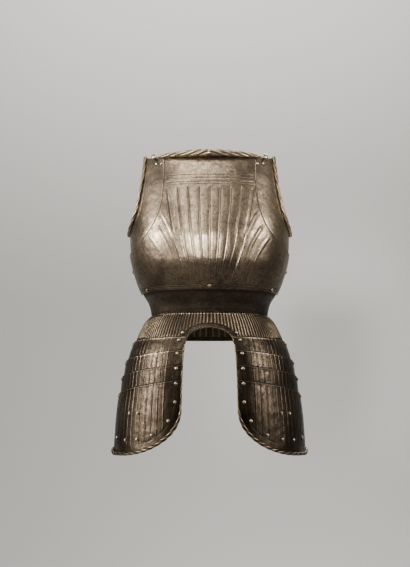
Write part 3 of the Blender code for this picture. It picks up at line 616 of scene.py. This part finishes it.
def slanting_flutes(x, z):
    """Crest and trough of each slanting flute at every point, stronger on the right."""
    away = np.abs(x)
    strength = np.where(x > 0, SLANTING_RIGHT, SLANTING_LEFT)
    for start, end in np.array(SLANTING_FLUTES):
        line = end - start
        length = np.linalg.norm(line)
        t = ((away - start[0]) * line[0] + (z - start[1]) * line[1]) / length**2
        bow = SLANTING_BOW * np.sin(np.clip(t, 0, 1) * math.pi)
        gap = ((away - start[0]) * line[1] - (z - start[1]) * line[0]) / length - bow
        fade = smooth_step(t / 0.10) * smooth_step((1 - t) / 0.12) * strength
        crest = line_near(gap, SLANTING_HALF_WIDTH) ** 1.3 * fade
        yield crest, line_near(np.abs(gap) - 0.0046, 0.0020) * fade


def breastplate():
    """The globose breastplate. Gives the line of its neck edge, for the roll."""
    lines = (*CHEST_LINES, *(BREAST_BOTTOM + rise for rise in HEM_LINES))
    heights = with_lines(np.linspace(BREAST_BOTTOM, NECK_HEIGHT, 128), lines, INCISED_HALF_WIDTH)
    found = [breast_columns(h) for h in heights]
    right = np.array([f[0] for f in found])
    ridge = np.array([f[1] for f in found])
    angle = np.concatenate((-right[:, :0:-1], right), axis=1)
    ridge = np.concatenate((ridge[:, :0:-1], ridge), axis=1)
    height = np.broadcast_to(heights[:, None], angle.shape)
    z = height + BREAST_ARCH * np.cos(angle) * (1 - (height - BREAST_BOTTOM) / NECK_HEIGHT)
    flat = body_points(FRONT, angle, z)
    x = flat[..., 0]
    away = np.abs(x)

    # The ridges run out at both ends. They are lower on the belly and less rubbed there, and their feet are
    # shallow troughs darkened with painted shade
    ridges = ridge * smooth_step((height - RIDGE_FOOT) / 0.012)
    ridges = ridges * smooth_step((RIDGE_TOP + 0.001 - height) / 0.010)
    rub = 0.35 + 0.55 * smooth_step((height - 0.10) / 0.08)
    relief = np.where(ridges < 0, 4.2 * ridges, rub * ridges)
    lift = RIDGE_HEIGHT * ridges * (0.5 + 0.5 * smooth_step((height - 0.08) / 0.07))
    for crest, trough in slanting_flutes(x, z):
        relief = relief + crest - 0.55 * trough
        lift = lift + SLANTING_HEIGHT * crest - SLANTING_TROUGH * trough

    # Incised lines: beside the armhole seam, across the chest and along the lower edge
    border = seam_x(z) - np.interp(z, SEAM_BORDER_HEIGHTS, SEAM_BORDER_WIDTHS)
    above = smooth_step((z - 0.135) / 0.03)
    cut = np.zeros_like(z)
    for line in CHEST_LINES:
        cut += line_near(height - line, INCISED_HALF_WIDTH) * smooth_step((border - 0.003 - away) / 0.004)
    for rise in HEM_LINES:
        cut += line_near(height - BREAST_BOTTOM - rise, INCISED_HALF_WIDTH)
    cut = np.clip(cut + line_near(away - border, 0.0013) * above, 0, 1)
    lift = lift - INCISED_DEPTH * cut
    lift = lift + 0.0004 * smooth_step((away - border) / 0.003) * above

    for dent_x, dent_z, radius, depth in DENTS:
        lift = lift - depth * np.exp(-((x - dent_x) ** 2 + (z - dent_z) ** 2) / radius**2)
    lift = lift + 0.00032 * hammering(flat, 0.030, 3)
    points = on_body(FRONT, angle, z, lift)
    plate("breastplate_plate", points, relief - cut, "cuirass", ["breastplate"])
    return points[-1]


def neck_roll(edge):
    """The turned neck edge, roped both ways from a small knob in the middle."""
    line = evenly(edge, 0.0009)
    across = np.abs(line[:, 0]) / np.abs(line[:, 0]).max()
    radii = NECK_ROLL_END + (NECK_ROLL_MIDDLE - NECK_ROLL_END) * np.cos(math.pi / 2 * across) ** 0.8
    normal = body_normals(FRONT, angle_at(line[:, 0], line[:, 2]), line[:, 2])
    centres = line + normal * (radii[:, None] - 0.0004)
    turn = np.where(line[:, 0] < 0, 1.0, -1.0)
    tube("neck_roll", centres, normal, radii * 1.02, 4, 0.092, 0.42, "cuirass", turn=turn, ring=48)
    middle = len(centres) // 2
    place = centres[middle] + normal[middle] * radii.max() * 0.75
    knob = turned("neck_knob", KNOB_PROFILE, 20)
    add_piece("neck_knob", knob, RIVET_STEEL, "cuirass", seat=(place, normal[middle]))


# Gussets


def gussets():
    """The armhole plates under the breastplate's edge, each with an incised line and a roped arm side."""
    climb = np.linspace(0, 1, 110)
    arm_z = GUSSET_END + climb * (GUSSET_TOP - GUSSET_END)
    seam_z = ARMPIT_HEIGHT + climb * (NECK_HEIGHT - ARMPIT_HEIGHT)
    arm = angle_at(CHEST_HALF_WIDTH * along(ARMHOLE, arm_z / NECK_HEIGHT, 2), arm_z)
    seam = seam_angle(seam_z)
    # The lap runs down below the seam at the armpit and turns inward further up, and it clears the neck roll
    turned_share = smooth_step(climb / GUSSET_TURN)
    room = 2 * NECK_ROLL_MIDDLE * smooth_step((climb - 0.93) / 0.07)
    hidden_angle = seam - GUSSET_LAP / body_size(seam_z)[0] * turned_share
    hidden_z = seam_z - GUSSET_LAP * (1 - turned_share) - room
    shares = with_lines(np.linspace(0, 1, 34), (GUSSET_LINE,), GUSSET_LINE_HALF_WIDTH)
    angle = np.concatenate((hidden_angle[:, None], seam[:, None] + (arm - seam)[:, None] * shares), axis=1)
    z = np.concatenate((hidden_z[:, None], seam_z[:, None] + (arm_z - seam_z)[:, None] * shares), axis=1)
    across = np.concatenate(([-0.2], shares))[None, :] * np.ones((len(climb), 1))
    cut = line_near(across - GUSSET_LINE, GUSSET_LINE_HALF_WIDTH)
    lift = -(PLATE + GUSSET_GAP) - 0.0005 * cut
    lift[:, 0] -= GUSSET_GAP / 2
    for side, sign in SIDES:
        flat = body_points(FRONT, angle * sign, z)
        points = on_body(FRONT, angle * sign, z, lift + 0.0003 * hammering(flat, 0.028, 5 + sign))
        body = f"gusset_{side}"
        plate(f"gusset_plate_{side}", points, -cut, body, [body], flip=sign < 0)
        line = evenly(points[:, -1], 0.0012)
        normal = body_normals(FRONT, angle_at(line[:, 0], line[:, 2]), line[:, 2])
        radii = np.full(len(line), GUSSET_ROLL * GUSSET_ROPE)
        centres = line + normal * GUSSET_ROLL
        tube(f"gusset_rope_{side}", centres, normal, radii, 3, 0.075, 0.36, body, turn=sign, ring=30)


# Waist plate and skirt


def waist_z(angle):
    return WAIST_LINE - WAIST_SIDE_DROP * (1 - np.abs(np.cos(angle)))


def waist_plate():
    angle = np.linspace(-1, 1, 150) * WAIST_SIDE_ANGLE
    bottom = waist_z(angle) - LAP
    top = BREAST_BOTTOM + LAP
    z = bottom + (top - bottom) * np.linspace(0, 1, 44)[:, None]
    grid = np.broadcast_to(angle, z.shape)
    lift = -(PLATE + SEAT_GAP) + 0.00028 * hammering(body_points(FRONT, grid, z), 0.034, 11)
    # The plate is darkened all over, with painted shade under the breastplate's edge and along the skirt's
    edge = BREAST_BOTTOM + BREAST_ARCH * np.cos(grid)
    relief = -0.30 - 0.5 * smooth_step((z - edge + 0.012) / 0.010)
    relief = relief - 0.4 * line_near(z - waist_z(grid), 0.004)
    plate("waist_band", on_body(FRONT, grid, z, lift), relief, "cuirass", ["waist_plate"])


def flute_waves(count):
    """Height share of plain round flutes at this many columns."""
    return 0.5 - 0.5 * np.cos(2 * math.pi * np.arange(count) / FLUTE_POINTS)


def arch_z(x):
    share = np.clip(np.abs(x) / ARCH_HALF_WIDTH, 0, 1)
    return ARCH_SPRING + (ARCH_TOP - ARCH_SPRING) * np.sqrt(1 - share * share)


def arch_line(count):
    """The arch's edge on the body, from left to right."""
    turn = np.linspace(math.pi, 0, count)
    x = ARCH_HALF_WIDTH * np.cos(turn)
    z = ARCH_SPRING + (ARCH_TOP - ARCH_SPRING) * np.sin(turn)
    return x, z


def across_share(x):
    """Share of the way from the arch's side to the hip."""
    return np.clip(np.abs(x) - ARCH_HALF_WIDTH, 0, None) / (HIP_HALF_WIDTH - ARCH_HALF_WIDTH)


def lame_edge(number, share):
    inner, fall = LAME_EDGES[number]
    return -SKIRT_DROP * (inner + fall * share)


def lame_offset(number, share, z):
    """Offset of a lame from the body: outside at its upper edge, inside where the next lame covers it.

    The skirt is number -1.
    """
    step = PLATE + LAME_CLEARANCE
    top = lame_edge(number, share) if number >= 0 else WAIST_LINE + 0 * share
    if number == LAST_LAME:
        return step * (0.5 - 0.5 * (top - z) / (top + SKIRT_DROP))
    following = lame_edge(number + 1, share)
    slack = SKIRT_SLACK if number < 0 else 0.0
    start = 0.5 if number >= 0 else SKIRT_START
    shown = step * (start - (start + 0.5) * (top - z) / (top - following))
    covered = lame_offset(number + 1, share, z) - step - slack
    return np.where(z < following, covered, shown)


def skirt():
    """The fluted skirt with the arch, whose edge has a raised band, a groove beside it and a roll."""
    right = np.linspace(0, SIDE_ANGLE, SKIRT_FLUTES * FLUTE_POINTS + 1)
    angle = np.concatenate((-right[:0:-1], right))
    x = body_points(FRONT, angle, np.full(len(angle), ARCH_SPRING))[:, 0]
    share = across_share(x)
    top = waist_z(angle)
    over_arch = np.abs(x) < ARCH_HALF_WIDTH
    bottom = np.where(over_arch, arch_z(x), lame_edge(0, share) - LAP)
    z = bottom + (top - bottom) * np.linspace(0, 1, 42)[:, None]
    grid = np.broadcast_to(angle, z.shape)
    flat = body_points(FRONT, grid, z)
    edge_x, edge_z = arch_line(160)
    gap = np.sqrt((flat[..., 0, None] - edge_x) ** 2 + (flat[..., 2, None] - edge_z) ** 2).min(axis=-1)
    band = line_near(gap - 0.0060, 0.0022)
    groove = line_near(gap - 0.0092, 0.0014)
    # The flutes stop short of the band, of the waist and of where the first lame covers the skirt
    clear = smooth_step((gap - 0.0085) / 0.003) * smooth_step((top - z + 0.002) / 0.012)
    shown = smooth_step((z - (lame_edge(0, share) + 0.001)) / 0.006)
    clear = clear * np.where(over_arch, 1.0, shown)
    ribs = flute_waves(len(angle)) ** SKIRT_FLUTE_SHARPNESS * clear
    lift = lame_offset(-1, np.broadcast_to(share, z.shape), z) + SKIRT_FLUTE_HEIGHT * ribs
    lift = lift + 0.0008 * band * np.where(z < ARCH_SPRING + 0.002, 0, 1) - 0.0003 * groove
    lift = lift + 0.00025 * hammering(flat, 0.032, 13)
    # Painted shade: a dark line on the skirt just above the first lame's upper edge, away from the arch
    shade = line_near(z - lame_edge(0, share) - 0.0012, 0.0026) * np.where(over_arch, 0.0, 1.0)
    relief = (0.95 * ribs + 0.16) * clear + 0.6 * band - 0.7 * groove - 1.2 * shade
    plate("skirt_plate", on_body(FRONT, grid, z, lift), relief, "cuirass", ["fauld"])
    x, z = arch_line(150)
    angle = angle_at(x, z)
    line = on_body(FRONT, angle, z, lame_offset(-1, across_share(x), z) + 0.0010)
    radii = np.full(len(line), ARCH_ROLL)
    tube("arch_roll", line, body_normals(FRONT, angle, z), radii, 3, 0.040, 0.22, "cuirass", turn=1, ring=20)


# Tassets


def inner_x(z):
    return ARCH_HALF_WIDTH * along(INNER_EDGE, -z / SKIRT_DROP, 1)


def tasset_angle(share, z):
    inner = angle_at(inner_x(z), z)
    return inner + (TASSET_SIDE_ANGLE - inner) * share


def tasset_columns(fine_inner):
    """Shares across a lame with the height share of its ridges."""
    border = TASSET_BORDER / (HIP_HALF_WIDTH - ARCH_HALF_WIDTH)
    spacing = (FLUTED_SHARE - border) / TASSET_FLUTES
    columns = [(s, 0.0) for s in np.linspace(0, border + 0.2 * spacing, fine_inner)]
    for k in range(TASSET_FLUTES):
        middle = border + spacing * (k + 0.5)
        columns += [(middle + spacing * at, high) for at, high in TASSET_PROFILE]
    columns += [(s, 0.0) for s in np.linspace(FLUTED_SHARE + 0.4 * spacing, 1.0, 6)]
    columns.sort()
    return np.array([c[0] for c in columns]), np.array([c[1] for c in columns])


def end_bottom(share):
    """Height of the last lame's lower edge, with its large inner corner and small outer one."""
    width = CORNER_WIDTH / (HIP_HALF_WIDTH - ARCH_HALF_WIDTH)
    across = np.clip(1 - share / width, 0, 1)
    curve = (1 - across**CORNER_SQUARENESS) ** (1 / CORNER_SQUARENESS)
    z = np.where(share < width, CORNER_START - (SKIRT_DROP + CORNER_START) * curve, -SKIRT_DROP)
    outer = np.clip((share - 1 + OUTER_CORNER_SHARE) / OUTER_CORNER_SHARE, 0, 1)
    return z + OUTER_CORNER_RISE * (1 - np.sqrt(1 - outer * outer * OUTER_CORNER_ROUND))


def free_edge_gap(number, flat, z):
    """Distance of a lame's points from its free edges, which the smooth border follows."""
    if number < LAST_LAME:
        side = body_points(FRONT, tasset_angle(0 * z, z), z)
        return np.sqrt(((flat - side) ** 2).sum(-1))
    share = np.linspace(0, 1, 240)
    end_z = end_bottom(share)
    side_z = np.linspace(CORNER_START, lame_edge(number, 0.0), 60)
    end = body_points(FRONT, tasset_angle(share, end_z), end_z)
    edge = np.concatenate((end, body_points(FRONT, tasset_angle(0 * side_z, side_z), side_z)))
    return np.sqrt(((flat[:, :, None, :] - edge[None, None]) ** 2).sum(-1)).min(-1)


def lame_roll(name, points, number, body, sign):
    """The roll along a lame's inner edge. The last lame's grows to a rope and runs on along its end."""
    path = points[::-1, 0]
    if number == LAST_LAME:
        path = np.concatenate((path, points[0, 1:]))
    else:
        # It ends short of the plates above and below, so that the lames turn freely
        lowest = float(lame_edge(number + 1, 0.0)) - 0.004
        highest = float(lame_edge(number, 0.0)) - (0.014 if number == 0 else 0.002)
        path = path[(path[:, 2] > lowest) & (path[:, 2] < highest)]
    line = evenly(path, 0.0011)
    normal = body_normals(FRONT, angle_at(line[:, 0], line[:, 2]), line[:, 2])
    radii = np.full(len(line), TASSET_ROLL)
    depth = 0.16
    if number == LAST_LAME:
        travelled = distance_along(line)
        grow = smooth_step((-line[:, 2] - 0.19) / 0.06)
        fade = smooth_step((travelled[-1] - travelled) / 0.02 + 0.35)
        radii = (radii + TASSET_ROLL_GROWTH * grow) * fade
        depth = 0.40
    centres = line + normal * (radii[:, None] * 0.8)
    tube(name, centres, normal, radii, 3, 0.054, depth, body, turn=sign, ring=24)


def lame(number):
    """One lame of each tasset."""
    last = number == LAST_LAME
    shares, ridge = tasset_columns(26 if last else 9)
    top = lame_edge(number, shares)
    following = None if last else lame_edge(number + 1, shares)
    bottom = end_bottom(shares) if last else following - LAP
    level = np.linspace(0, 1, 60) ** 0.9 if last else np.linspace(0, 1, 22)
    z = bottom + (top - bottom) * level[:, None]
    share = np.broadcast_to(shares, z.shape)
    angle = tasset_angle(share, z)
    gap = free_edge_gap(number, body_points(FRONT, angle, z), z)
    groove = line_near(gap - TASSET_GROOVE, 0.0013)
    clear = smooth_step((gap - TASSET_GROOVE) / 0.004)
    # The upper edge is rubbed bright, and painted shade darkens the plate above where this one's edge lies on
    # it. The flutes and the hammering fade at the laps
    rim = line_near(top - z, 0.0030)
    shade = np.zeros_like(z)
    even = smooth_step((top - z) / 0.020)
    if not last:
        clear = clear * smooth_step((z - following + 0.001) / 0.004)
        shade = line_near(z - following - 0.0012, 0.0026)
        even = even * smooth_step((z - following - 0.001) / 0.010)
    ridges = ridge * clear
    lift = lame_offset(number, share, z) + TASSET_FLUTE_WEAR * TASSET_FLUTE_HEIGHT * ridges
    lift = lift - 0.0004 * groove + 0.0005 * rim
    # Painted shade darkens the shallow troughs at the flutes' feet; the groove holds dark oxide
    relief = np.where(ridges < 0, 2.6 * ridges, 0.45 * ridges) - 0.8 * groove
    relief = np.clip(relief * (1 - rim) + 0.9 * rim, -1, 1) - 1.3 * shade
    for side, sign in SIDES:
        body = f"{side}_lame_{number + 1}"
        seed = 20 + number * 2 + sign
        uneven = 0.00034 * hammering(body_points(FRONT, angle * sign, z), 0.030, seed) * even
        points = on_body(FRONT, angle * sign, z, lift + uneven)
        name = f"{side}_tasset_plate_{number + 1}"
        plate(name, points, relief, body, [f"tasset_{side}_lame_{number + 1}"], flip=sign < 0)
        lame_roll(f"{side}_tasset_edge_{number + 1}", points, number, body, sign)


# Back


def back_angle(z):
    """Angle of the back's side edge: past the side below the armhole, and along the armhole above its foot."""
    past_side = SIDE + REAR_LAP_ANGLE
    armhole = angle_at(CHEST_HALF_WIDTH * along(BACK_ARMHOLE, z / NECK_HEIGHT, 1), z)
    edge = np.where(z <= BACK_ARMHOLE_FOOT, past_side, armhole)
    return past_side + (edge - past_side) * smooth_step((z - BACK_ARMHOLE_FOOT) / 0.012)


def backplate():
    """The plain back, inside the front plates, and further in where waist plate and skirt come between."""
    z = np.linspace(-LAP, BACK_TOP, 120)
    edge = back_angle(z)
    share = np.linspace(-1, 1, 130)
    angle = edge[:, None] * share
    height = np.broadcast_to(z[:, None], angle.shape)
    inner = np.clip((BACK_TUCK_TOP - height) / BACK_TUCK_HEIGHT, 0, 1)
    # An incised line follows the armholes and the upper edge
    away = (1 - np.abs(share)) * edge[:, None] * 0.15
    side_line = line_near(away - BACK_LINE_INSET, BACK_LINE_HALF_WIDTH)
    side_line = side_line * smooth_step((height - 0.12) / 0.02)
    top_line = line_near(BACK_TOP - height - BACK_LINE_INSET, BACK_LINE_HALF_WIDTH)
    line = np.maximum(side_line, top_line * smooth_step((away - 0.008) / 0.004))
    uneven = 0.0003 * hammering(body_points(BACK, angle, height), 0.034, 31)
    lift = -(1 + 2 * inner) * (PLATE + SEAT_GAP) - 0.0005 * line + uneven
    plate("back_plate", on_body(BACK, angle, height, lift), -line, "cuirass", ["backplate"], flip=True)


def culet():
    """The fluted rear skirt, smooth at its sides."""
    edge = SIDE + REAR_LAP_ANGLE
    angle = np.linspace(-edge, edge, CULET_FLUTES * FLUTE_POINTS + 1)
    rear = smooth_step(np.cos(angle) / 0.25)
    z = np.linspace(CULET_BOTTOM, CULET_TOP, 20)[:, None] * np.ones(len(angle))
    ribs = flute_waves(len(angle)) * rear * smooth_step((z - CULET_BOTTOM - 0.004) / 0.005)
    grid = np.broadcast_to(angle, z.shape)
    uneven = 0.0002 * hammering(body_points(BACK, grid, z), 0.03, 37)
    lift = SKIRT_FLUTE_HEIGHT * ribs - 2 * (PLATE + SEAT_GAP) + uneven
    relief = (0.9 * ribs - 0.2) * rear
    plate("rear_skirt", on_body(BACK, grid, z, lift), relief, "cuirass", ["culet"], flip=True)


# Rivets, studs and pins


def node_seat(name):
    """Foot and direction of a round CAD node, whose axis is the one unlike the other two in length."""
    points = np.array([v.co for v in frame["nodes"][name].data.vertices])
    middle = points.mean(axis=0)
    outward = middle * (1, 1, 0)
    outward /= np.linalg.norm(outward)
    axis = np.linalg.svd(points - middle)[2]
    lengths = np.ptp((points - middle) @ axis.T, axis=0)
    alone = int(np.argmax([abs(length - np.median(lengths)) for length in lengths]))
    normal = axis[alone] * np.sign(axis[alone] @ outward)
    low = ((points - middle) @ normal).min()
    return middle + normal * low, normal


def dome(radius, height):
    """A head's profile, on the dark seat that its edge is worn into."""
    seat, lip = radius * 1.22, 0.0003
    rim = [(seat, -2 * lip), (seat, lip), (radius * 1.02, lip)]
    return rim + [
        (radius * max(math.cos(t), 0.02), lip + (height - lip) * math.sin(t))
        for t in np.linspace(0.12, math.pi / 2, 7)
    ]


def small_pieces():
    """One head for each round node: the first word of its name says which."""
    meshes = {
        "rivet": turned("rivet_head", dome(*RIVET_DOME), 24),
        "side": turned("pin_head", dome(*PIN_DOME), 24),
        "stud": turned("stud_head", STUD_PROFILE, 32, worn=0.4),
    }
    bodies = frame["record"]["behaviour"]["bodies"]
    for name in sorted(frame["nodes"]):
        mesh = meshes.get(name.split("_")[0])
        if mesh:
            body = next(b for b, members in bodies.items() if name in members)
            piece = add_piece(f"{name}_head", mesh, RIVET_STEEL, body, seat=node_seat(name))
            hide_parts(name)


# Studio


def studio():
    """A pale paper floor that curves up to a backdrop, and soft lamps."""
    floor_z, back_y, radius = -0.95, 2.6, 1.2
    reach, top_z = 6.0, 4.5
    bend = [
        (back_y - radius + radius * math.sin(t), floor_z + radius * (1 - math.cos(t)))
        for t in np.linspace(0, math.pi / 2, 24)
    ]
    line = [(-reach, floor_z)] + bend + [(back_y, top_z)]
    points = [(x, y, z) for x in (-reach, reach) for y, z in line]
    count = len(line)
    faces = [(k, count + k, count + k + 1, k + 1) for k in range(count - 1)]
    mesh = bpy.data.meshes.new("floor")
    mesh.from_pydata(points, [], faces)
    mesh.shade_smooth()
    floor = bpy.data.objects.new("floor", mesh)
    bpy.context.scene.collection.objects.link(floor)
    # Matt pale paper: an even ground with no gloss
    paper = bpy.data.materials.new("pale_paper")
    paper.use_nodes = True
    shader = paper.node_tree.nodes["Principled BSDF"]
    shader.inputs["Base Color"].default_value = colour("#d9d6d1")
    shader.inputs["Roughness"].default_value = 0.9
    mesh.materials.append(paper)
    world = bpy.data.worlds.new("studio")
    bpy.context.scene.world = world
    world.use_nodes = True
    world.node_tree.nodes["Background"].inputs["Color"].default_value = colour("#8f8a84")
    world.node_tree.nodes["Background"].inputs["Strength"].default_value = 0.20
    lamps = (
        # Name, place, target, width, height, watts and spread in degrees
        ("key", (-1.1, -2.3, 2.6), (0.0, -0.05, 0.42), 2.2, 1.7, 4.4, 20),
        ("top", (-0.3, -0.7, 2.7), (0.0, -0.05, 0.25), 1.8, 1.2, 4.0, 45),
        ("belly", (-0.50, -2.9, 0.42), (0.0, -0.15, 0.24), 0.50, 0.30, 1.0, 13),
        ("right", (2.3, -1.3, 1.0), (0.05, -0.1, 0.18), 0.5, 1.4, 5.5, 38),
        ("left", (-2.4, -1.0, 0.8), (-0.1, 0.0, 0.16), 0.45, 1.5, 9.0, 34),
        ("rear", (0.9, 1.9, 2.0), (0.0, 0.10, 0.15), 1.2, 0.8, 8.0, 60),
        ("backdrop", (0.0, 1.3, 2.2), (0.0, 2.4, 0.2), 2.6, 0.8, 74.0, 180),
    )
    for name, place, target, width, height, watts, spread in lamps:
        data = bpy.data.lights.new(name, "AREA")
        data.shape = "RECTANGLE"
        data.size = width
        data.size_y = height
        data.energy = watts
        data.spread = math.radians(spread)
        lamp = bpy.data.objects.new(name, data)
        bpy.context.scene.collection.objects.link(lamp)
        lamp.location = place
        lamp.rotation_euler = (Vector(target) - Vector(place)).to_track_quat("-Z", "Y").to_euler()


def camera():
    """The photograph's view: a long lens 3.2 m from the waist, looking up by 4 degrees."""
    distance = 3.2
    tilt = math.radians(4)
    wide, high = 410, 567
    metres_per_pixel = 0.00224
    waist_column, waist_row = 209.6, 317.0
    data = bpy.data.cameras.new("camera")
    data.lens = distance / metres_per_pixel * data.sensor_width / high
    data.shift_x = (wide / 2 - waist_column) / high
    data.shift_y = (waist_row - high / 2) / high
    made = bpy.data.objects.new("camera", data)
    bpy.context.scene.collection.objects.link(made)
    made.location = distance * Vector((0.0, -math.cos(tilt), -math.sin(tilt)))
    made.rotation_euler = (-made.location).to_track_quat("-Z", "Y").to_euler()
    bpy.context.scene.camera = made


camera()
neck_roll(breastplate())
gussets()
waist_plate()
skirt()
for number in range(len(LAME_EDGES)):
    lame(number)
backplate()
culet()
small_pieces()
studio()
bpy.context.view_layer.update()
